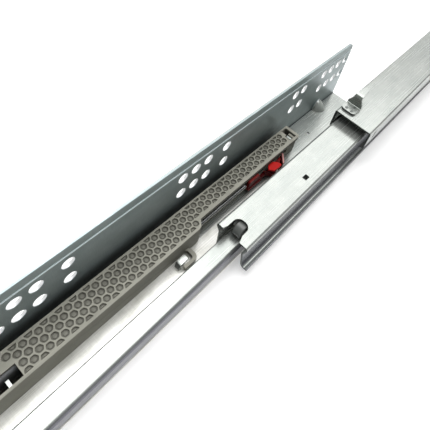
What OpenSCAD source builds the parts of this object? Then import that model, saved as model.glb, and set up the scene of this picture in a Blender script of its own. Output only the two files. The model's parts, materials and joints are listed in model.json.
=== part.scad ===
// Undermount drawer slide with a soft-close unit, drawn partly extended.
// X runs along the slide towards the front, Y towards the cabinet side and Z up.
// The origin is at the bracket's front end, on the cabinet side, under the bracket's floor.
// Positions inside the slide are [x, w, h]: w is the distance from the flange's inner face
// and h the height above the floor's top.

/* [Slide] */
// Length of the cabinet bracket
slide_len = 450; // [440:10:500]
// How far the intermediate rail stands out from its closed place
intermediate_out = 200; // [190:5:205]
// Length of the intermediate rail
intermediate_len = 353; // [340:1:356]
// Length of the drawer rail
drawer_len = 446; // [430:1:448]

/* [Sheet metal] */
// Thickness of the cabinet bracket
bracket_t = 1.5; // [1.2:0.1:1.5]
// Thickness of the rails
rail_t = 1.2; // [1:0.1:1.2]
// Height of the bracket's flange above its floor
flange_h = 47.5; // [45:0.5:52]
// Width of the bracket's floor
floor_w = 38.4; // [38.3:0.1:38.6]
// Diameter of the screw holes
screw_hole_d = 6.3; // [5:0.1:6.5]
// Height of the lower row of screw holes
lower_row_h = 22.3; // [20.3:0.5:24.3]
// Distance between the two rows of screw holes
row_gap = 12.6; // [12:0.1:13]

/* [Rails] */
// Height of the base rail
base_rail_h = 11; // [10.8:0.1:11]
// Height of the intermediate rail's top
intermediate_h = 21; // [21:0.1:21.1]
// Height of the drawer rail's top
drawer_h = 27.5; // [27.4:0.1:27.6]

/* [Rollers] */
// Diameter of the large rollers on the base rail
lower_roller_d = 8.2; // [8:0.1:8.3]
// Diameter of the rollers under the drawer rail
upper_roller_d = 4.7; // [4.5:0.1:4.8]

/* [Soft close] */
// Height of the housing
housing_h = 14.2; // [14:0.1:15]
// Travel of the catch
catch_travel = 33; // [29:1:33]

/* [Hidden] */
$fn = 48;
over = 1;

// Colours
zinc = [0.80, 0.82, 0.80];
zinc_dark = [0.62, 0.65, 0.65];
plastic_grey = [0.45, 0.43, 0.40];
plastic_pale = [0.70, 0.71, 0.68];
plastic_red = [0.72, 0.08, 0.06];
steel = [0.75, 0.76, 0.77];

// Screw hole groups, each a list of distances behind the front end
hole_groups = [
    [4.5, 13.5, 22.5, 31.5], [55, 64], [128, 142, 151, 160],
    [224, 238, 247, 256], [320, 334, 343, 352], [416, 430]
];

// Base rail
base_w = [28.6, 38.4];
base_x = [3 - slide_len, -4];
base_rivet_x = [for (x = [40 : 90 : slide_len - 30]) -x];
base_rivet_w = 33.5;

// Intermediate rail: outer outline, walls from left to right, then the outward flange
intermediate_x = [-158, intermediate_len - 158];
intermediate_left = [[26.7, 3], [26.1, 15.5], [24.2, 18.8], [24.2, intermediate_h]];
intermediate_right = [[44.6, intermediate_h], [44.6, 19], [43, 14.4], [44.3, 6.4], [44.9, 4], [47.6, 5]];
notch_w = [29, 37.6];
notch_depth = 10.7;

// Drawer rail: outer outline with in-turned lips
drawer_x = [-45.5, drawer_len - 45.5];
drawer_outline = [
    [24.6, 13.4], [21.7, 13.4], [21.7, drawer_h], [48.6, drawer_h], [48.6, 13.4], [46, 13.4]
];

// Cages: a plate with a window for each roller
lower_x = [-149, -16];
lower_roller_x = [for (i = [0 : 4]) -148.7 + i * 32];
lower_roller_w = [30.6, 35.8];
lower_roller_h = base_rail_h + 0.3 + lower_roller_d / 2;
lower_side_d = 3.2;
lower_side_x = [for (i = [0 : 3]) -135.5 + i * 32];
lower_side_w = 40.6;
lower_side_h = [4.4, 8.8];
upper_x = [2, 142];
upper_roller_x = [for (i = [0 : 4]) 12 + i * 30];
upper_roller_w = [26.5, 42.5];
upper_roller_h = intermediate_h + 0.3 + upper_roller_d / 2;
upper_side_d = 2.2;
upper_side_x = [for (i = [0 : 3]) 27 + i * 30];
upper_side_w = 46;
upper_side_h = [15.2, 18.2];

lock_slot_x = [drawer_x[1] - 38, drawer_x[1] - 14];

// Hook on the drawer rail
hook_t = 1.4;
hook_foot_x = [-41.4, -32.2];
hook_foot_w = [22.4, 32.6];
hook_riser_h = 6.7;
hook_prong_len = 11;

// Soft-close unit
wide_x = -162;
wide_w = 18.5;
narrow_w = 14.6;
side_w = 3.6;
unit_x = [-286, -70.2];
shell_t = 1.2;
base_t = 1;
waist_w = 13.8;
lip_h = 11.4;
damper_x = [-274, -176];
damper_w = 9.2;
damper_h = 6.9;
damper_r = 4.2;
rod_r = 1;
spring_x = [-222, -119.6];
spring_w = 14.5;
spring_h = 8;
spring_r = 1.1;
catch_x = [-119.6, -90];
pin_x = -98;
pin_h = 6.9;
pin_r = 0.9;

// Tab on the drawer rail that meets the catch when the slide is closed
driver_x = pin_x + 4.5 - catch_travel + 2 * intermediate_out;

// Outline helpers ---------------------------------------------------------

function unit(v) = v / norm(v);
function turned(v) = [-v[1], v[0]];

// Point i of an open path, moved sideways by t with mitred corners
function shifted(path, i, t) =
    let (last = len(path) - 1,
         before = unit(path[max(i, 1)] - path[max(i, 1) - 1]),
         after = unit(path[min(i + 1, last)] - path[min(i + 1, last) - 1]),
         mitre = unit(turned(before) + turned(after)))
    path[i] + mitre * t / (mitre * turned(before));

// Outline of a sheet of thickness t along an open path
function sheet(path, t) =
    concat(path, [for (i = [len(path) - 1 : -1 : 0]) shifted(path, i, t)]);

// Arc of radius r that rounds the corner q between p and s
function bend(p, q, s, r, steps) =
    let (a = unit(p - q), b = unit(s - q),
         half = acos(a * b) / 2,
         centre = q + unit(a + b) * r / sin(half),
         u = unit(q + a * r / tan(half) - centre),
         v = unit(q + b * r / tan(half) - centre))
    [for (k = [0 : steps]) centre + r * unit(u * (1 - k / steps) + v * k / steps)];

// Open path with every inner corner rounded
function bent(path, r, steps = 3) =
    concat([path[0]],
           [for (i = [1 : len(path) - 2]) each bend(path[i - 1], path[i], path[i + 1], r, steps)],
           [path[len(path) - 1]]);

// Closed outline with every corner rounded, by one radius or by a list of them
function rounded(path, r, steps = 4) =
    let (n = len(path))
    [for (i = [0 : n - 1])
        each bend(path[(i + n - 1) % n], path[i], path[(i + 1) % n], is_list(r) ? r[i] : r, steps)];

function box_path(a, b) = [[a[0], b[0]], [a[1], b[0]], [a[1], b[1]], [a[0], b[1]]];

// Shape helpers in [x, w, h] ----------------------------------------------

// Block between ranges of x, w and h
module block(x, w, h) {
    translate([x[0], -bracket_t - w[1], bracket_t + h[0]])
        cube([x[1] - x[0], w[1] - w[0], h[1] - h[0]]);
}

// Outline drawn in [w, h], run along x
module along(x, path) {
    translate([x[0], -bracket_t, bracket_t])
        rotate([90, 0, 90])
            linear_extrude(x[1] - x[0]) polygon([for (p = path) [-p[0], p[1]]]);
}

// Outline drawn in [x, w], run upwards
module upright(h, path) {
    translate([0, -bracket_t, bracket_t + h[0]])
        linear_extrude(h[1] - h[0]) polygon([for (p = path) [p[0], -p[1]]]);
}

// Outline drawn in [x, h], run across
module across(w, path) {
    translate([0, -bracket_t - w[0], bracket_t])
        rotate([90, 0, 0])
            linear_extrude(w[1] - w[0]) polygon(path);
}

module rod_x(x, w, h, r) {
    translate([x[0], -bracket_t - w, bracket_t + h]) rotate([0, 90, 0]) cylinder(r = r, h = x[1] - x[0]);
}

module rod_y(x, w, h, r) {
    translate([x, -bracket_t - w[0], bracket_t + h]) rotate([90, 0, 0]) cylinder(r = r, h = w[1] - w[0]);
}

module rod_z(x, w, h, r) {
    translate([x, -bracket_t - w, bracket_t + h[0]]) cylinder(r = r, h = h[1] - h[0]);
}

// Upright slot with round ends, its length along x
module slot(x, w, h, len, r) {
    reach = len / 2 - r;
    for (side = [-1, 1]) rod_z(x + side * reach, w, h, r);
    block([x - reach, x + reach], [w - r, w + r], h);
}

// Cabinet bracket ---------------------------------------------------------

module screw_holes() {
    for (group = hole_groups, x = group, row = [0, 1])
        rod_y(-x, [-bracket_t - over, over], lower_row_h + row * row_gap, screw_hole_d / 2);
}

// Blister pressed across the bend
module gusset(r) {
    translate([-24, 1, -1]) scale([0.62, 1, 1]) sphere(r = r, $fn = 36);
}

// Rolled groove with a nearly level lower side
module corner_groove() {
    groove_h = 41;
    groove = 0.8;
    along([-slide_len - over, over],
          [[-groove, groove_h], [over, groove_h - 0.3], [over, groove_h + 2.2], [-groove, groove_h + 0.3]]);
}

module lanced_tabs() {
    block([-76.9, -75.4], [8.9, 12.2], [-0.2, 13]);
    block([-262.4, -261], [13.7, 17], [-0.2, 12.2]);
    across([20.2, 23.4], [[-180.8, -0.2], [-180.8, 2.8], [-180.2, 4.5], [-178.8, 5.2], [-174.8, 5.2],
                          [-174.8, 4], [-178.5, 4], [-179.3, 3.6], [-179.6, 2.6], [-179.6, -0.2]]);
}

module bracket_sheet() {
    corner_r = 5;
    bend_path = bent([[0, flange_h], [0, 0], [floor_w, 0]], 0.4, 2);
    intersection() {
        along([-slide_len, 0], sheet(bend_path, -bracket_t));
        across([-bracket_t - over, floor_w + over],
               concat([[0, -bracket_t - over]],
                      [for (a = [0 : 18 : 90]) [corner_r * (cos(a) - 1), flange_h + corner_r * (sin(a) - 1)]],
                      [for (a = [90 : 18 : 180])
                          [corner_r * (cos(a) + 1) - slide_len, flange_h + corner_r * (sin(a) - 1)]],
                      [[-slide_len, -bracket_t - over]]));
    }
}

module cabinet_bracket() {
    color(zinc)
    difference() {
        union() {
            bracket_sheet();
            lanced_tabs();
            intersection() {
                gusset(9.8);
                block([-32, -16], [-0.5, 12], [-0.5, 12]);
            }
        }
        screw_holes();
        corner_groove();
        gusset(8.4);
        rod_z(-50.4, 12, [-bracket_t - over, over], 1.2);
        for (x = base_rivet_x) rod_z(x, base_rivet_w, [-bracket_t - over, over], 1.5);
    }
}

// Base rail ---------------------------------------------------------------

module base_rail() {
    h = [0, base_rail_h];
    color(zinc)
    difference() {
        along(base_x, rounded(box_path(base_w, h), [0.7, 2.2, 2.2, 0.7]));
        along([base_x[0] - over, base_x[1] + over],
              rounded(box_path([base_w[0] + rail_t, base_w[1] - rail_t], [rail_t, base_rail_h - rail_t]),
                      [0.4, 1.1, 1.1, 0.4]));
        for (x = base_rivet_x) rod_z(x, base_rivet_w, [-over, rail_t + over], 1.5);
    }
}

module rail_rivets() {
    color(zinc_dark)
    for (x = base_rivet_x) {
        rod_z(x, base_rivet_w, [-bracket_t, rail_t], 1.5);
        rod_z(x, base_rivet_w, [rail_t, rail_t + 1], 2.6);
    }
}

// Cages and rollers -------------------------------------------------------

module lower_cage() {
    plate_h = [lower_roller_h - 1, lower_roller_h + 1.2];
    pocket = lower_roller_d / 2 + 0.3;
    color(plastic_pale)
    difference() {
        union() {
            block(lower_x, [28.4, 39.2], plate_h);
            block(lower_x, [39.2, 40.8], [9.4, plate_h[1]]);
            for (x = lower_side_x) block([x - 4, x + 4], [39, 41.6], [3.4, 9.8]);
        }
        for (x = lower_roller_x)
            block([x - pocket, x + pocket], [lower_roller_w[0] - 0.3, lower_roller_w[1] + 0.3],
                  [plate_h[0] - over, plate_h[1] + over]);
        for (x = lower_side_x)
            block([x - 1.9, x + 1.9], [38, 43], [lower_side_h[0] - 0.2, lower_side_h[1] + 0.2]);
    }
}

module lower_rollers() {
    color(plastic_grey)
    for (x = lower_roller_x) rod_y(x, lower_roller_w, lower_roller_h, lower_roller_d / 2);
}

module lower_side_rollers() {
    color(plastic_grey)
    for (x = lower_side_x) rod_z(x, lower_side_w, lower_side_h, lower_side_d / 2);
}

module upper_cage() {
    plate_h = [upper_roller_h - 0.9, upper_roller_h + 0.9];
    pocket = upper_roller_d / 2 + 0.3;
    color(plastic_pale)
    difference() {
        union() {
            block(upper_x, [23.3, 47], plate_h);
            block(upper_x, [45.4, 47], [14.9, plate_h[0]]);
        }
        for (x = upper_roller_x)
            block([x - pocket, x + pocket], [upper_roller_w[0] - 0.3, upper_roller_w[1] + 0.3],
                  [plate_h[0] - over, plate_h[1] + over]);
        for (x = upper_side_x)
            block([x - 1.5, x + 1.5], [44, 48], [upper_side_h[0] - 0.2, upper_side_h[1] + 0.2]);
    }
}

module upper_rollers() {
    color(plastic_grey)
    for (x = upper_roller_x) rod_y(x, upper_roller_w, upper_roller_h, upper_roller_d / 2);
}

module upper_side_rollers() {
    color(plastic_grey)
    for (x = upper_side_x) rod_z(x, upper_side_w, upper_side_h, upper_side_d / 2);
}

// Intermediate rail -------------------------------------------------------

// Cuts the rear end: a round-cornered notch over the rearmost roller
module notch() {
    back = intermediate_x[0];
    deep = back + notch_depth;
    upright([intermediate_h - 3, intermediate_h + over],
            concat([[back - over, notch_w[0] - 1.2], [back + 2.6, notch_w[0]]],
                   bent([[back + 2.6, notch_w[0]], [deep, notch_w[0]], [deep, notch_w[1]],
                         [back + 4, notch_w[1]]], 3.6, 5),
                   [[back + 1.4, notch_w[1] + 1], [back - over, notch_w[1] + 1.6]]));
}

module intermediate_rail() {
    color(zinc)
    difference() {
        along(intermediate_x, sheet(bent(concat(intermediate_left, intermediate_right), 1.5, 3), -rail_t));
        notch();
        block([-101.4, -97.8], [37, 39.6], [intermediate_h - 3, intermediate_h + over]);
    }
}

// Plastic buffer pressed into the front end
module intermediate_buffer() {
    front = intermediate_x[1];
    top = intermediate_h - rail_t;
    color(plastic_pale)
    difference() {
        block([front - 14, front + 2], [28, 41], [15.2, top]);
        block([front - 10, front - 3], [31, 38], [14, top - 1.4]);
    }
}

// Drawer rail and what is fixed to it -------------------------------------

module drawer_rail() {
    color(zinc)
    difference() {
        along(drawer_x, sheet(bent(drawer_outline, 1.3, 4), -rail_t));
        across([46, 50], [[-38.4, 18.4], [-36.2, 18.4], [-34, 24], [-36.2, 24]]);
        for (x = lock_slot_x) slot(x, 35, [drawer_h - 3, drawer_h + over], 12, 3);
        hook_rivet_shanks(drawer_h - 3);
        driver_rivet_shanks();
    }
}

hook_rivet_places = [[-39, 25.4], [-39.4, 29.6], [-35, 29.2]];

module hook_rivet_shanks(from) {
    for (p = hook_rivet_places) rod_z(p[0], p[1], [from, drawer_h + hook_t], 0.7);
}

// Foot, tapering riser and forward prong, bent from one sheet
module rear_hook() {
    riser_x = hook_foot_x[1];
    top = drawer_h + hook_t + hook_riser_h;
    prong_end = riser_x + hook_prong_len;
    side = bent([[hook_foot_x[0], drawer_h], [riser_x + 0.3, drawer_h], [riser_x + 1.4, top],
                 [prong_end, top + 0.3]], 1.8, 4);
    color(zinc)
    difference() {
        intersection() {
            across([hook_foot_w[0], hook_foot_w[1]], sheet(side, hook_t));
            union() {
                upright([drawer_h, drawer_h + 3],
                        rounded(box_path([hook_foot_x[0], riser_x + 4], hook_foot_w), 2.4));
                along([riser_x - 3, riser_x + 4],
                      [[hook_foot_w[0], drawer_h], [hook_foot_w[0], drawer_h + 2.6], [25, top - 1],
                       [25, top + 2], [30.4, top + 2], [30.4, top - 1], [hook_foot_w[1], drawer_h + 2.6],
                       [hook_foot_w[1], drawer_h]]);
                upright([drawer_h + 6, top + 2.5],
                        rounded([[riser_x - 2, 25], [prong_end, 26], [prong_end, 29.8], [riser_x - 2, 30.4]], 1.2));
            }
        }
        hook_rivet_shanks(drawer_h - over);
    }
}

module hook_rivets() {
    color(zinc_dark) {
        hook_rivet_shanks(drawer_h - rail_t);
        for (p = hook_rivet_places) rod_z(p[0], p[1], [drawer_h + hook_t, drawer_h + hook_t + 0.3], 1);
    }
}

module driver_rivet_shanks() {
    for (x = [-5, 5]) rod_y(driver_x + x, [20, 21.7 + rail_t], 19, 1);
}

// Angle riveted outside the drawer rail's wall, with a tongue over the catch
module driver_tab() {
    tongue = [15.6, 21.7];
    color(zinc)
    difference() {
        union() {
            block([driver_x - 8, driver_x + 8], [20.5, 21.7], [14.4, 23]);
            block([driver_x - 1.5, driver_x + 1.5], [20.5, 21.7], [10.5, 14.4]);
            block([driver_x - 1.5, driver_x + 1.5], [tongue[0], 20.5], [10.5, 12.4]);
        }
        driver_rivet_shanks();
    }
}

module driver_rivets() {
    color(zinc_dark)
    for (x = [-5, 5]) {
        rod_y(driver_x + x, [20.5, 21.7 + rail_t], 19, 1);
        rod_y(driver_x + x, [19.9, 20.5], 19, 1.8);
    }
}

// Soft-close unit ---------------------------------------------------------

jog = 3.2;

function unit_outline(inset, right_narrow) = [
    [unit_x[0] + inset, side_w + inset],
    [unit_x[1] - inset, side_w + inset],
    [unit_x[1] - inset, right_narrow - 0.8],
    [unit_x[1] - inset - 1.2, right_narrow],
    [wide_x + jog - inset, right_narrow],
    [wide_x - inset, wide_w - inset - 0.4],
    [wide_x - 2 - inset, wide_w - inset],
    [unit_x[0] + inset, wide_w - inset]
];

// J-shaped lug that hooks round the bracket's lanced tab
module housing_lug() {
    difference() {
        upright([base_t, 3.4], rounded(box_path([-186, -169.4], [wide_w - 1, 25.7]), 2.8));
        upright([0, 5], rounded(box_path([-190, -171.5], [wide_w, 24]), 1.4));
        block([-190, -178.6], [wide_w, 30], [0, 5]);
    }
}

module soft_close_housing() {
    ceiling = housing_h - 1.6;
    color(plastic_grey)
    difference() {
        union() {
            upright([base_t, housing_h], unit_outline(0, waist_w));
            upright([lip_h, housing_h], unit_outline(0, narrow_w));
            housing_lug();
        }
        upright([0, ceiling], unit_outline(shell_t, waist_w - 1));
        block([-270, -256.6], [11, 17.2], [10, 16]);
        difference() {
            union() {
                block([-76.8, -72.2], [4.6, 12.9], [10, 16]);
                block([-78.4, -76], [8.6, 12.9], [10, 16]);
            }
            block([-74.9, -73.2], [8.7, 13], [12.3, 13.4]);
        }
        block([-164, -80.5], [waist_w - 2, waist_w + 0.5], [4.4, 9.6]);
        block([wide_x - 4, wide_x + jog + 0.4], [waist_w, 17.4], [0, 9.6]);
    }
}

module soft_close_base() {
    color(plastic_grey)
    difference() {
        upright([0, base_t], unit_outline(0, waist_w));
        block([-77.4, -74.9], [8.5, 12.6], [-over, 2]);
        block([-263, -260.4], [13.3, 17.2], [-over, 2]);
    }
}

module damper_cylinder() {
    color(steel)
    difference() {
        rod_x(damper_x, damper_w, damper_h, damper_r);
        rod_x([damper_x[0] + 3, damper_x[1] + over], damper_w, damper_h, damper_r - 0.8);
    }
}

module damper_cap() {
    color(plastic_pale)
    difference() {
        rod_x([damper_x[1] - 4, damper_x[1]], damper_w, damper_h, damper_r - 0.8);
        rod_x([damper_x[1] - 5, damper_x[1] + over], damper_w, damper_h, rod_r + 0.08);
    }
}

module piston_rod() {
    color(steel) {
        rod_x([-209, -118], damper_w, damper_h, rod_r);
        rod_x([-211, -207], damper_w, damper_h, damper_r - 0.86);
    }
}

// The spring's envelope, hooked to the carriage at its front end
module return_spring() {
    color(steel)
    difference() {
        rod_x(spring_x, spring_w, spring_h, spring_r);
        rod_x([spring_x[0] - over, spring_x[1] + over], spring_w, spring_h, spring_r - 0.5);
    }
}

module catch_carriage() {
    inside_x = [-118, -110];
    color(plastic_red)
    difference() {
        union() {
            across([14.3, 15.8], [[catch_x[0], 2.6], [catch_x[0], 9.2], [catch_x[0] + 0.8, 10], [-110.8, 10],
                                  [-108, 5.2], [-104, 5.2], [-104, 2.6]]);
            block([catch_x[0], -108], [14.3, 16.4], [2.6, 3.8]);
            upright([2.6, 3.4], [[-104.8, 14.3], [catch_x[1], 14.3], [catch_x[1], 19.6], [-101.6, 19.6],
                                 [-101.6, 17.5]]);
            upright([2.6, 6.7], [[-104.8, 14.3], [-104, 14.3], [-101, 17.3], [-101, 19.6], [-101.6, 19.6],
                                 [-101.6, 17.5]]);
            upright([2.6, 9.4], [[-92.4, 19.6], [-91.2, 19.6], [-86.2, 15], [-86.2, 14.3], [-87.4, 14.3],
                                 [-87.4, 14.8]]);
            upright([2.6, 7.6], [[-90.2, 14.3], [-86.8, 14.3], [-86.8, 15.2], [-90.2, 18.2]]);
            block(inside_x, [waist_w - 2.5, 14.4], [4.8, 8.4]);
            block(inside_x, [6, waist_w - 1.4], [3.4, 10.6]);
            for (w = [[14.3, 15.3], [18.8, 19.8]]) {
                rod_y(pin_x, w, pin_h, 1.6);
                block([pin_x - 1.6, pin_x + 1.6], w, [3, pin_h]);
            }
        }
        rod_y(pin_x, [14, 20], pin_h, pin_r);
    }
}

// Rocker on the pin with a wide top, a notch for the driver tab and a front horn
module catch_tumbler() {
    color(plastic_red)
    difference() {
        union() {
            upright([5.2, 8.9], [[-102.2, 15.4], [-94, 15.4], [-93, 17.2], [-94, 18.7], [-100.2, 18.7],
                                 [-100.4, 17.2]]);
            upright([8.9, 10.2], rounded([[-101.6, 14.8], [-97, 14.8], [-95, 17.2], [-94.2, 19.9], [-98, 20.2],
                                          [-101.4, 19.8], [-103.8, 17]], 0.6));
            upright([6.6, 8.9], [[-97, 15.3], [-90.8, 15.3], [-91, 16.2], [-94, 18.2], [-97, 18.2]]);
        }
        rod_y(pin_x, [14, 21], pin_h, pin_r + 0.06);
    }
}

module tumbler_pin() {
    color(steel) rod_y(pin_x, [14.3, 19.8], pin_h, pin_r);
}

cabinet_bracket();
base_rail();
rail_rivets();
lower_cage();
lower_rollers();
lower_side_rollers();
intermediate_rail();
intermediate_buffer();
upper_cage();
upper_rollers();
upper_side_rollers();
drawer_rail();
rear_hook();
hook_rivets();
driver_tab();
driver_rivets();
soft_close_housing();
soft_close_base();
damper_cylinder();
damper_cap();
piston_rod();
return_spring();
catch_carriage();
catch_tumbler();
tumbler_pin();
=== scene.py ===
"""Looks of an undermount drawer slide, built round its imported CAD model.

Places are in the slide's own coordinates, in millimetres: x along the slide, towards the front,
w across it, from the flange's inner face, and h up from the top of the bracket's floor.
"""

import json
import math

import bmesh
import bpy
from mathutils import Matrix, Vector
from mathutils.geometry import tessellate_polygon


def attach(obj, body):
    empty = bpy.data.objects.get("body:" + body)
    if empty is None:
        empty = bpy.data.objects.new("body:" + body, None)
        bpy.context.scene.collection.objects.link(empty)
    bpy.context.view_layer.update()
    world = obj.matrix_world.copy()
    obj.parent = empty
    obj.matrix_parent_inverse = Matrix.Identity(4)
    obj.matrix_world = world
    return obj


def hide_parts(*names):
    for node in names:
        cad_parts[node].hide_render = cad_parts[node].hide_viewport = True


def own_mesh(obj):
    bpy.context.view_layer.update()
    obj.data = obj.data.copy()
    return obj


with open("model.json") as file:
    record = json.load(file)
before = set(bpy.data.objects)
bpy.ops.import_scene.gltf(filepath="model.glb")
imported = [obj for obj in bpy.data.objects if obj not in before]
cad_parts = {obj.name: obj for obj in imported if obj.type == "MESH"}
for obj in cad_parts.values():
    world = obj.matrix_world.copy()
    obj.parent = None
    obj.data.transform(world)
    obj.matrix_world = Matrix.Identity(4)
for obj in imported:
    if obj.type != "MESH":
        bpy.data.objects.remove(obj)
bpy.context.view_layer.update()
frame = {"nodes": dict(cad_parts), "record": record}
nodes = frame["nodes"]

MM = 0.001
SHEET = 1.5  # thickness of the bracket's sheet
SAME_POINT = 0.002 * MM  # vertices nearer than this are merged
CREASE = math.radians(38)  # faces that turn more than this meet in a sharp edge
FLAT = math.radians(0.5)  # faces that turn less than this are one flat face


def place(x, w, h):
    """Point in the part's frame, in metres, of a place on the slide."""
    return Vector((x, -SHEET - w, SHEET + h)) * MM


# Camera ------------------------------------------------------------------

CAMERA_AT = (-0.2677, -0.0891, 0.2260)
HEADING, TILT, ROLL = 29.07, -43.90, 16.14  # degrees
LENS = 39.08
SHIFT = (-0.0913, -0.2430)


def make_camera():
    heading, tilt, roll = (math.radians(a) for a in (HEADING, TILT, ROLL))
    forward = Vector((math.cos(tilt) * math.cos(heading), math.cos(tilt) * math.sin(heading), math.sin(tilt)))
    level = forward.cross(Vector((0, 0, 1))).normalized()
    upright = level.cross(forward)
    right = level * math.cos(roll) + upright * math.sin(roll)
    up = right.cross(forward)
    camera = bpy.data.objects.new("camera", bpy.data.cameras.new("camera"))
    camera.data.lens = LENS
    camera.data.shift_x, camera.data.shift_y = SHIFT
    camera.data.clip_start = 0.01
    camera.matrix_world = Matrix.Translation(CAMERA_AT) @ Matrix((right, up, -forward)).transposed().to_4x4()
    bpy.context.scene.collection.objects.link(camera)
    bpy.context.scene.camera = camera


make_camera()


# Materials ---------------------------------------------------------------


class Finish:
    """A Principled material, whose nodes read the object's own coordinates and normals."""

    def __init__(self, name, **sockets):
        self.material = bpy.data.materials.new(name)
        self.material.use_nodes = True
        self.tree = self.material.node_tree
        self.shader = self.tree.nodes["Principled BSDF"]
        for socket, value in sockets.items():
            self.shader.inputs[socket.replace("_", " ")].default_value = value
        texture = self.node("TexCoord").outputs
        self.coords, self.facing = texture["Object"], texture["Normal"]
        self.normal = None

    def node(self, kind, inputs=(), **settings):
        """New node. Its inputs are given as links or values, under their names or numbers."""
        made = self.tree.nodes.new("ShaderNode" + kind)
        for key, value in settings.items():
            setattr(made, key, value)
        for key, value in dict(inputs).items():
            if isinstance(value, bpy.types.NodeSocket):
                self.tree.links.new(value, made.inputs[key])
            else:
                made.inputs[key].default_value = value
        return made

    def axes(self):
        """The coordinates x, y and z, one by one."""
        return self.node("SeparateXYZ", {"Vector": self.coords}).outputs

    def noise(self, scale, detail=2.0, roughness=0.5):
        """Noise, with its scale along each axis."""
        stretched = self.node("Mapping", {"Vector": self.coords, "Scale": scale}).outputs["Vector"]
        inputs = {"Vector": stretched, "Scale": 1.0, "Detail": detail, "Roughness": roughness}
        return self.node("TexNoise", inputs).outputs["Fac"]

    def ranged(self, value, low, high, start=0.3, end=0.7):
        """Runs from low to high while the value runs from start to end."""
        inputs = {"Value": value, "From Min": start, "From Max": end, "To Min": low, "To Max": high}
        return self.node("MapRange", inputs).outputs["Result"]

    def rising(self, value, start, end):
        """Mask that goes from 0 to 1 between two places in millimetres."""
        return self.ranged(value, 0.0, 1.0, start * MM, end * MM)

    def falling(self, value, start, end):
        """Mask that goes from 1 to 0 between two places in millimetres."""
        return self.ranged(value, 1.0, 0.0, start * MM, end * MM)

    def turned(self, direction, start, end):
        """Mask of the surfaces that face a direction."""
        return self.ranged(self.dot(self.facing, direction), 0.0, 1.0, start, end)

    def combined(self, operation, first, *others):
        """Values joined one after another by a Math operation."""
        for other in others:
            first = self.node("Math", {0: first, 1: other}, operation=operation).outputs[0]
        return first

    def product(self, *factors):
        return self.combined("MULTIPLY", *factors)

    def dot(self, vector, other):
        return self.node("VectorMath", {0: vector, 1: other}, operation="DOT_PRODUCT").outputs["Value"]

    def ramp(self, value, *stops):
        """Colours at positions along a value."""
        made = self.node("ValToRGB", {"Fac": value})
        for element, (position, colour) in zip(made.color_ramp.elements, stops):
            element.position = position
            element.color = (*colour, 1)
        return made.outputs["Color"]

    def mixed(self, factor, a, b, blend="MIX"):
        """Colour b over a. Either can be a link or three numbers."""
        colours = {key: colour if isinstance(colour, bpy.types.NodeSocket) else (*colour, 1)
                   for key, colour in (("Color1", a), ("Color2", b))}
        return self.node("MixRGB", {"Fac": factor, **colours}, blend_type=blend).outputs["Color"]

    def edges(self):
        """High along outer edges, 0.5 on flat faces."""
        return self.node("NewGeometry").outputs["Pointiness"]

    def bump(self, height, distance, strength):
        """Adds relief, with its distance in millimetres."""
        inputs = {"Height": height, "Distance": distance * MM, "Strength": strength}
        if self.normal:
            inputs["Normal"] = self.normal
        self.normal = self.node("Bump", inputs).outputs["Normal"]

    def finish(self, colour, roughness=None):
        for socket, value in (("Base Color", colour), ("Roughness", roughness), ("Normal", self.normal)):
            if value:
                self.tree.links.new(value, self.shader.inputs[socket])
        return self.material


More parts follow.
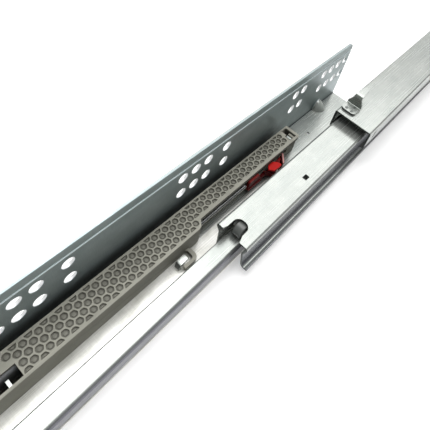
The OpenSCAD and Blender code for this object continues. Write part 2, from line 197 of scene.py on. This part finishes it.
def zinc_sheet(name):
    """Zinc-plated rolled sheet: streaks along the rolling direction, faint clouds in the plating
    and fine marks across it, with painted shade and painted light in some places."""
    f = Finish(name)
    streaks = f.noise((22, 2600, 2600), detail=3.0, roughness=0.6)
    marks = f.noise((2400, 60, 300), detail=2.0, roughness=0.6)
    clouds = f.noise((70, 160, 120), detail=5.0, roughness=0.62)
    x, y, z = f.axes()

    # The bracket's flange: its inner face, darker in a film that is partly the plating's tint and partly
    # painted shade,
    #     a painted highlight along the groove near the top, painted shade low down beside the soft-close unit
    #     and in the bend, and painted light on the walls of the screw holes
    flange = f.product(f.rising(y, -2.5, -1.6), f.falling(y, -0.6, -0.3))
    painted_groove_highlight = f.product(flange, f.rising(z, 42.0, 42.4), f.falling(z, 43.2, 43.6))
    painted_gap_shade = f.product(flange, f.falling(z, 11.5, 18.0), f.falling(x, -80, -62), 0.95)
    painted_bend_shade = f.product(flange, f.falling(z, 1.8, 2.6))
    painted_hole_wall_light = f.product(
        f.rising(y, -1.45, -1.3), f.falling(y, -0.15, 0), f.falling(z, 40, 41), f.falling(x, -3, -2))
    # The bracket's floor: a pale, matte patch behind the catch, partly white bloom on the plating and partly
    # painted light,
    #     and what stands up from it, which is the pressed gusset and the lanced tabs, lightened as painted
    #     light and made matte
    bloom_and_painted_light = f.product(f.falling(z, 1.6, 2.0), f.falling(y, -19.5, -18.5), f.falling(x, -100, -80))
    gusset_painted_light = f.product(f.rising(z, 1.6, 2.0), f.falling(y, -4.0, -2.6), f.rising(y, -14, -13))
    # The rails: painted shade on the faces that turn to the rear, which are the cut ends, deeper low down,
    # and on the base rail's outer side
    painted_rear_shade = f.product(f.turned((-1, 0, 0), 0.35, 0.75), f.falling(y, -14, -12))
    painted_low_rear_shade = f.product(painted_rear_shade, f.falling(z, 30.2, 31.2))
    painted_side_shade = f.product(f.turned((0, -1, 0), 0.3, 0.9), f.falling(y, -36, -34), f.falling(z, 12, 22))

    colour = f.ramp(clouds, (0.32, (0.385, 0.41, 0.388)), (0.68, (0.465, 0.485, 0.458)))
    film_and_painted_shade = f.ramp(clouds, (0.3, (0.295, 0.352, 0.36)), (0.7, (0.375, 0.435, 0.443)))
    bloomed_and_painted_light = f.ramp(clouds, (0.3, (0.70, 0.70, 0.64)), (0.6, (0.92, 0.92, 0.88)))
    # Each mask lays its colour over the plating: painted shade for the gap, the bend, the rear faces and the
    # outer side, and in part for the flange's film; painted light for the groove, the hole walls and the
    # gusset, and in part for the bloom
    for mask, shade in (
            (flange, film_and_painted_shade), (painted_gap_shade, (0.025, 0.03, 0.031)), (painted_bend_shade, (0.05, 0.055, 0.055)),
            (painted_groove_highlight, (0.75, 0.82, 0.83)), (painted_rear_shade, (0.26, 0.29, 0.26)), (painted_low_rear_shade, (0.09, 0.10, 0.095)),
            (painted_hole_wall_light, (0.95, 0.96, 0.96)), (painted_side_shade, (0.15, 0.152, 0.175)),
            (gusset_painted_light, (0.50, 0.53, 0.50)), (bloom_and_painted_light, bloomed_and_painted_light)):
        colour = f.mixed(mask, colour, shade)
    white = (1.0, 1.0, 1.0)
    rubbed = f.ramp(streaks, (0.28, (0.93, 0.93, 0.93)), (0.70, white))
    scored = f.ramp(marks, (0.25, (0.88, 0.88, 0.88)), (0.6, white))
    colour = f.mixed(0.8, f.mixed(0.7, colour, rubbed, "MULTIPLY"), scored, "MULTIPLY")
    f.bump(streaks, 0.004, 0.35)
    f.bump(clouds, 0.05, 0.12)
    matte = f.combined("MAXIMUM", bloom_and_painted_light, painted_hole_wall_light, gusset_painted_light)
    f.tree.links.new(f.ranged(matte, 0.7, 0.15, 0.0, 1.0), f.shader.inputs["Metallic"])
    return f.finish(colour, f.combined("ADD", f.ranged(streaks, 0.22, 0.29), f.product(flange, 0.1)))


def plain_steel(name, colour, roughness):
    """Small turned or drawn steel parts, slightly stained."""
    f = Finish(name, Metallic=1.0)
    marks = f.noise((900, 900, 900), detail=3.0)
    stain = f.noise((160, 160, 160), detail=2.0)
    shade = f.ramp(stain, (0.3, [0.8 * c for c in colour]), (0.7, colour))
    f.bump(marks, 0.02, 0.3)
    return f.finish(shade, f.ranged(marks, roughness * 0.8, roughness * 1.25))


def moulded(name, colour, roughness, grain=0.03, above=None, chafed=None, **sockets):
    """Moulded plastic: fine texture from the mould, slight colour drift, and rubbed outer edges.

    above is a height in millimetres and the colour from there up; the colour below it is darker, as painted
    shade.
    The lit patch, given as a direction, a distance along it, a height and a colour, is painted light beyond
    the distance and above the height."""
    f = Finish(name, **sockets)
    texture = f.noise((3200, 3200, 3200))
    drift = f.noise((70, 140, 140), detail=3.0)

    def drifting(shade):
        return f.ramp(drift, (0.3, [0.86 * c for c in shade]), (0.7, [1.1 * c for c in shade]))

    body = drifting(colour)
    outer = colour
    height = f.axes()["Z"]
    if above:
        level, outer = above
        body = f.mixed(f.rising(height, level - 0.35, level), body, drifting(outer))
    if chafed:
        direction, reach, level, patch_colour = chafed
        beyond = f.rising(f.dot(f.coords, direction), reach - 0.3, reach)
        body = f.mixed(f.product(beyond, f.rising(height, level - 0.3, level)), body, drifting(patch_colour))
    pale = [min(1.0, 1.25 * c + 0.02) for c in outer]
    worn = f.ranged(f.edges(), 0.0, 0.6, 0.52, 0.62)
    f.bump(texture, grain, 0.6)
    return f.finish(f.mixed(worn, body, pale), f.ranged(texture, roughness - 0.06, roughness + 0.08))


STEELS = {  # colour and roughness
    "rivet_steel": ((0.20, 0.215, 0.205), 0.42),
    "rod_steel": ((0.72, 0.73, 0.74), 0.16),
    # damper cylinder: darkened as painted shade, for its place inside the housing
    "damper_steel": ((0.20, 0.205, 0.21), 0.42),
    "spring_steel": ((0.62, 0.63, 0.64), 0.22),
}
PLASTICS = {
    "cage_plastic": {"colour": (0.42, 0.44, 0.42), "roughness": 0.5},
    "roller_plastic": {"colour": (0.095, 0.103, 0.096), "roughness": 0.33},
    # housing: darker below its top as painted shade on the sides and in the cells, partly grime in the cells
    # as well; the lit patch is painted light on the lug's top
    "housing_plastic": {
        "colour": (0.155, 0.152, 0.127), "roughness": 0.52, "above": (15.6, (0.32, 0.315, 0.265)),
        "chafed": ((0, -1, 0), 20.3, 4.85, (0.30, 0.295, 0.25)), "Specular_IOR_Level": 0.3},
    # catch: painted shade on everything below the top faces, which keep the plastic's own red
    "catch_plastic": {
        "colour": (0.10, 0.001, 0.001), "roughness": 0.42, "grain": 0.015,
        "above": (10.8, (0.44, 0.005, 0.003)), "Specular_IOR_Level": 0.1},
    # carriage: painted shade below its top faces, a lighter top that is partly wear and partly painted
    # highlight, and a painted highlight on the front fence as its lit patch
    "catch_plastic_shade_and_highlight": {
        "colour": (0.085, 0.001, 0.001), "roughness": 0.45, "grain": 0.02,
        "above": (10.85, (0.19, 0.015, 0.013)),
        "chafed": ((0.677, -0.736, 0), -47.2, 9.5, (0.62, 0.34, 0.32)), "Specular_IOR_Level": 0.1},
}
FINISHES = {"zinc_sheet": zinc_sheet("zinc_sheet")}
FINISHES.update((name, plain_steel(name, *settings)) for name, settings in STEELS.items())
FINISHES.update((name, moulded(name, **settings)) for name, settings in PLASTICS.items())


# CAD nodes ---------------------------------------------------------------

BEVELS = {
    "cabinet_bracket": 0.18, "base_rail": 0.15, "intermediate_rail": 0.18, "drawer_rail": 0.18,
    "rear_hook": 0.25, "driver_tab": 0.2, "catch_carriage": 0.25, "catch_tumbler": 0.3,
    "lower_rollers": 0.5, "upper_rollers": 0.3, "lower_side_rollers": 0.25, "upper_side_rollers": 0.2,
    "lower_cage": 0.2, "upper_cage": 0.15, "intermediate_buffer": 0.3, "soft_close_base": 0.15,
    "damper_cylinder": 0.2, "tumbler_pin": 0.15, "rail_rivets": 0.2, "hook_rivets": 0.1,
    "driver_rivets": 0.15, "piston_rod": 0.1,
}


def soften(obj, width):
    """Rounds the sharp edges, as pressing and tumbling leave them."""
    weld = obj.modifiers.new("weld", "WELD")
    weld.merge_threshold = SAME_POINT
    flat = obj.modifiers.new("flat", "DECIMATE")
    flat.decimate_type = "DISSOLVE"
    flat.angle_limit = FLAT
    bevel = obj.modifiers.new("bevel", "BEVEL")
    bevel.width = width * MM
    bevel.segments = 2
    bevel.limit_method = "ANGLE"
    bevel.angle_limit = CREASE
    bevel.miter_outer = "MITER_ARC"
    normals = obj.modifiers.new("normals", "WEIGHTED_NORMAL")
    normals.keep_sharp = True


def dress_nodes():
    slots = {part["node"]: part["material_slot"] for part in frame["record"]["subparts"]}
    # the carriage takes the catch plastic with painted shade and painted highlights
    slots["catch_carriage"] = "catch_plastic_shade_and_highlight"
    for name, obj in nodes.items():
        obj.data.materials.clear()
        obj.data.materials.append(FINISHES[slots[name]])
        if obj.data.has_custom_normals:
            bpy.context.view_layer.objects.active = obj
            bpy.ops.mesh.customdata_custom_splitnormals_clear()
        obj.data.shade_smooth()
        obj.data.set_sharp_from_angle(angle=CREASE)
        if name in BEVELS:
            soften(obj, BEVELS[name])


dress_nodes()


# Pieces ------------------------------------------------------------------


def piece(name, mesh, body, slot, stands_for):
    """Visible piece that moves with a body and replaces CAD nodes."""
    mesh.materials.clear()
    mesh.materials.append(FINISHES[slot])
    obj = linked(name, mesh)
    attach(obj, body)
    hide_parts(*stands_for)
    return obj


def linked(name, data):
    """New object in the scene, from a mesh or a light."""
    obj = bpy.data.objects.new(name, data)
    bpy.context.scene.collection.objects.link(obj)
    return obj


def mesh_from(bm, name):
    mesh = bpy.data.meshes.new(name)
    bm.to_mesh(mesh)
    bm.free()
    return mesh


def ring(bm, outline, h):
    """Vertices round an outline of [x, w] at a height."""
    return [bm.verts.new(place(x, w, h)) for x, w in outline]


def bridge(bm, *rings):
    """Faces between each ring of vertices and the next."""
    for a, b in zip(rings, rings[1:]):
        for k in range(len(a)):
            following = (k + 1) % len(a)
            bm.faces.new((a[k], a[following], b[following], b[k]))


# Soft-close housing: the CAD solid, with its honeycomb of shallow cells cut into the top
HOUSING_TOP = 14.2
HOUSING_BEVEL = 0.28
BEVELLED_EDGE, SHARP_EDGE = math.radians(30), math.radians(32)
CELL_PITCH = 4.03  # across the slide
COLUMN_STEP = 3.39  # along it
CELL_WALL = 0.8
CELL_DEPTH = 1.0
CELL_EDGE = 0.12  # width of the slope round a cell's mouth and a boss's top
CELL_STEP = 15  # degrees between the points of a cell's outline
CELL_CORNER = 1.08  # how much further a cell reaches at its rounded corners than at its sides
CELL_OVERLAP = 0.6  # how far beyond a plain margin's edge the middle of a clipped cell can lie
BOSS_RADIUS = 1.0
BOSS_HEIGHT = 0.5
BOSS_MARGIN = 0.45  # least space between a boss and a plain margin
BOSS_SIDES = 16
FIRST_COLUMN_X = -250.9
CELLS_X = (-284.0, -80.0)
JOG_X = -161.8
WIDE_CELLS = (10.85, 4.6, 17.1)  # w of a row's middle, then of the plain margins' edges
NARROW_CELLS = (10.3, 4.5, 12.5)
WINDOW_FRAME = ((-272.4, -255.0), (8.8, 19.5))  # x and w ranges with no cells, round the rear window


def rounded_hexagon(x, w, inside):
    """Outline of a cell, with a flat side towards each margin."""
    outline = []
    for k in range(360 // CELL_STEP):
        angle = math.radians(CELL_STEP * k)
        to_side = (angle + math.pi / 6) % (math.pi / 3) - math.pi / 6
        reach = min(inside / math.cos(math.pi / 6 - abs(to_side)), CELL_CORNER * inside)
        outline.append((x + reach * math.cos(angle), w + reach * math.sin(angle)))
    return outline


def turn(count):
    """Angles that divide a full turn equally."""
    return [2 * math.pi * k / count for k in range(count)]


def circle(x, w, radius):
    return [(x + radius * math.cos(a), w + radius * math.sin(a)) for a in turn(BOSS_SIDES)]


def clipped(outline, low, high):
    """The part of a convex outline in [x, w] that lies between two values of w."""
    for limit, side in ((low, 1), (high, -1)):
        kept = []
        for (x0, w0), (x1, w1) in zip(outline, outline[1:] + outline[:1]):
            a, b = side * (w0 - limit), side * (w1 - limit)
            if a >= 0:
                kept.append((x0, w0))
            if a * b < 0:
                kept.append((x0 + (x1 - x0) * a / (a - b), limit))
        outline = kept
    return outline


def grown(outline, by):
    """Outline with each corner moved away from the middle."""
    middle = sum((Vector(p) for p in outline), Vector((0, 0))) / len(outline)
    return [tuple(Vector(p) + (Vector(p) - middle).normalized() * by) for p in outline]


def cell_cutter(bm, x, w, low, high):
    """Closed cutter for one cell: a hexagon, flared at the top, with a low round boss left inside."""
    floor = HOUSING_TOP - CELL_DEPTH
    mouth = clipped(rounded_hexagon(x, w, (CELL_PITCH - CELL_WALL) / 2), low, high)
    flare, base = grown(mouth, 0.1), grown(mouth, -CELL_EDGE)
    boss = clipped(circle(x, w, BOSS_RADIUS), low + BOSS_MARGIN, high - BOSS_MARGIN)
    sides = [ring(bm, flare, HOUSING_TOP + 0.5), ring(bm, flare, HOUSING_TOP + 0.01),
             ring(bm, mouth, HOUSING_TOP - CELL_EDGE), ring(bm, base, floor)]
    bosses = [ring(bm, boss, floor), ring(bm, grown(boss, -0.1), floor + BOSS_HEIGHT - CELL_EDGE),
              ring(bm, grown(boss, -0.4), floor + BOSS_HEIGHT)]
    bridge(bm, *sides)
    bridge(bm, *bosses)
    bm.faces.new(sides[0])
    bm.faces.new(bosses[-1])
    around = sides[-1] + bosses[0]
    outlines = [[Vector((*point, 0)) for point in outline] for outline in (base, boss)]
    for corners in tessellate_polygon(outlines):
        bm.faces.new([around[k] for k in corners])


def honeycomb_cutter():
    bm = bmesh.new()
    first, last = (math.ceil((x - FIRST_COLUMN_X) / COLUMN_STEP) for x in CELLS_X)
    (frame_start, frame_end), (frame_low, frame_high) = WINDOW_FRAME
    for column in range(first, last):
        x = FIRST_COLUMN_X + column * COLUMN_STEP
        middle, low, high = WIDE_CELLS if x < JOG_X else NARROW_CELLS
        for row in range(-3, 4):
            w = middle + (row + 0.5 * (column % 2)) * CELL_PITCH
            framed = frame_start < x < frame_end and frame_low < w < frame_high
            if low - CELL_OVERLAP < w < high + CELL_OVERLAP and not framed:
                cell_cutter(bm, x, w, low, high)
    bmesh.ops.recalc_face_normals(bm, faces=bm.faces)
    return linked("honeycomb", mesh_from(bm, "honeycomb"))


def build_housing():
    base = linked("housing_base", nodes["soft_close_housing"].data.copy())
    bm = bmesh.new()
    bm.from_mesh(base.data)
    bmesh.ops.remove_doubles(bm, verts=bm.verts, dist=SAME_POINT)
    bmesh.ops.dissolve_limit(bm, angle_limit=math.radians(1), verts=bm.verts, edges=bm.edges)
    bm.to_mesh(base.data)
    bm.free()
    bevel = base.modifiers.new("bevel", "BEVEL")
    bevel.width, bevel.segments, bevel.limit_method = HOUSING_BEVEL, 3, "ANGLE"
    bevel.angle_limit = BEVELLED_EDGE
    cells = honeycomb_cutter()
    for used in (base, cells):  # the solver merges points that are too close, so it works in millimetres
        used.data.transform(Matrix.Scale(1 / MM, 4))
    cut = base.modifiers.new("cut", "BOOLEAN")
    cut.object, cut.operation, cut.solver = cells, "DIFFERENCE", "MANIFOLD"
    bpy.context.view_layer.update()
    mesh = bpy.data.meshes.new_from_object(base.evaluated_get(bpy.context.evaluated_depsgraph_get()))
    mesh.transform(Matrix.Scale(MM, 4))
    for used in (base, cells):
        bpy.data.objects.remove(used)
    mesh.name = "housing_shell"
    mesh.shade_smooth()
    mesh.set_sharp_from_angle(angle=SHARP_EDGE)
    piece("housing_shell", mesh, "cabinet", "housing_plastic", ["soft_close_housing"])


build_housing()


# Return spring: a wound wire in place of the CAD envelope
SPRING_X = (-222.0, -119.6)
SPRING_AXIS = (14.5, 8.0)
SPRING_RADIUS = 1.1
WIRE_RADIUS = 0.2
WIRE_SIDES = 7
COIL_PITCH = 0.6
TURN_STEPS = 14
TAIL = 2.4  # length of the straight wire at each end of the coil


def tube(bm, points, radius):
    """Round bar along a line of points."""
    rings = []
    for k, point in enumerate(points):
        along = (points[min(k + 1, len(points) - 1)] - points[max(k - 1, 0)]).normalized()
        side = along.cross(Vector((1, 0.01, 0.02))).normalized()
        other = along.cross(side)
        rings.append([bm.verts.new(point + radius * MM * (side * math.cos(a) + other * math.sin(a)))
                      for a in turn(WIRE_SIDES)])
    bridge(bm, *rings)
    bm.faces.new(rings[0][::-1])
    bm.faces.new(rings[-1])
    bmesh.ops.recalc_face_normals(bm, faces=bm.faces)


def spring_line():
    """Points along the wire, with a straight tail at each end."""
    start, end = SPRING_X
    w, h = SPRING_AXIS
    coil = end - start - 2 * TAIL
    steps = round(coil / COIL_PITCH) * TURN_STEPS
    mean = SPRING_RADIUS - WIRE_RADIUS
    tail = [place(start + 0.3, w, h), place(start + TAIL - 1.0, w, h), place(start + TAIL - 0.3, w + 0.5, h)]
    wound = []
    for k in range(steps + 1):
        angle = 2 * math.pi * k / TURN_STEPS
        x = start + TAIL + coil * k / steps
        wound.append(place(x, w + mean * math.cos(angle), h + mean * math.sin(angle)))
    head = [place(end - TAIL + 0.3, w + 0.5, h), place(end - TAIL + 1.0, w, h), place(end - 0.3, w, h)]
    return tail + wound + head


def build_spring():
    bm = bmesh.new()
    tube(bm, spring_line(), WIRE_RADIUS)
    mesh = mesh_from(bm, "spring")
    mesh.shade_smooth()
    spring = piece("coil_spring", mesh, "cabinet", "spring_steel", ["return_spring"])
    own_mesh(spring)


build_spring()


# Floor and light ---------------------------------------------------------

FLOOR_SIZE = 8.0
FLOOR_GAP = 0.0003  # below the slide, so that the two don't share a plane
LIGHTS = (  # name, size in metres, watts, direction it stands in, distance in metres
    ("key", 2.0, 27, (0.25, 0.15, 1.0), 1.5),
    ("front", 1.1, 2.3, (0.90, 0.25, 0.45), 1.7),
    ("rear", 0.7, 4.5, (0.02, 0.30, 1.0), 1.4),
)
LIT_POINT = Vector((-0.05, -0.03, 0.0))
WORLD_STRENGTH = 0.36


def make_floor():
    bm = bmesh.new()
    bmesh.ops.create_grid(bm, x_segments=1, y_segments=1, size=FLOOR_SIZE / 2)
    floor = linked("floor", mesh_from(bm, "floor"))
    floor.location.z = -FLOOR_GAP
    f = Finish("floor_paper", Roughness=0.8, Specular_IOR_Level=0.2,
               Emission_Color=(1, 1, 1, 1), Emission_Strength=0.25)
    fibres = f.noise((30, 30, 30), detail=3.0)
    paper = f.ramp(fibres, (0.3, (0.90, 0.90, 0.90)), (0.7, (0.93, 0.93, 0.93)))
    floor.data.materials.append(f.finish(paper))


def area_light(name, size, power, towards, distance):
    """Soft box that shines on the slide from a direction."""
    light = bpy.data.lights.new(name, "AREA")
    light.size = size
    light.energy = power
    direction = Vector(towards).normalized()
    facing = direction.to_track_quat("Z", "Y").to_matrix().to_4x4()
    lamp = linked(name, light)
    lamp.matrix_world = Matrix.Translation(LIT_POINT + direction * distance) @ facing


def make_light():
    for light in LIGHTS:
        area_light(*light)
    world = bpy.data.worlds.new("studio")
    world.use_nodes = True
    background = world.node_tree.nodes["Background"].inputs
    background["Color"].default_value = (1, 1, 1, 1)
    background["Strength"].default_value = WORLD_STRENGTH
    bpy.context.scene.world = world
    bpy.context.scene.view_settings.view_transform = "Standard"


make_floor()
make_light()
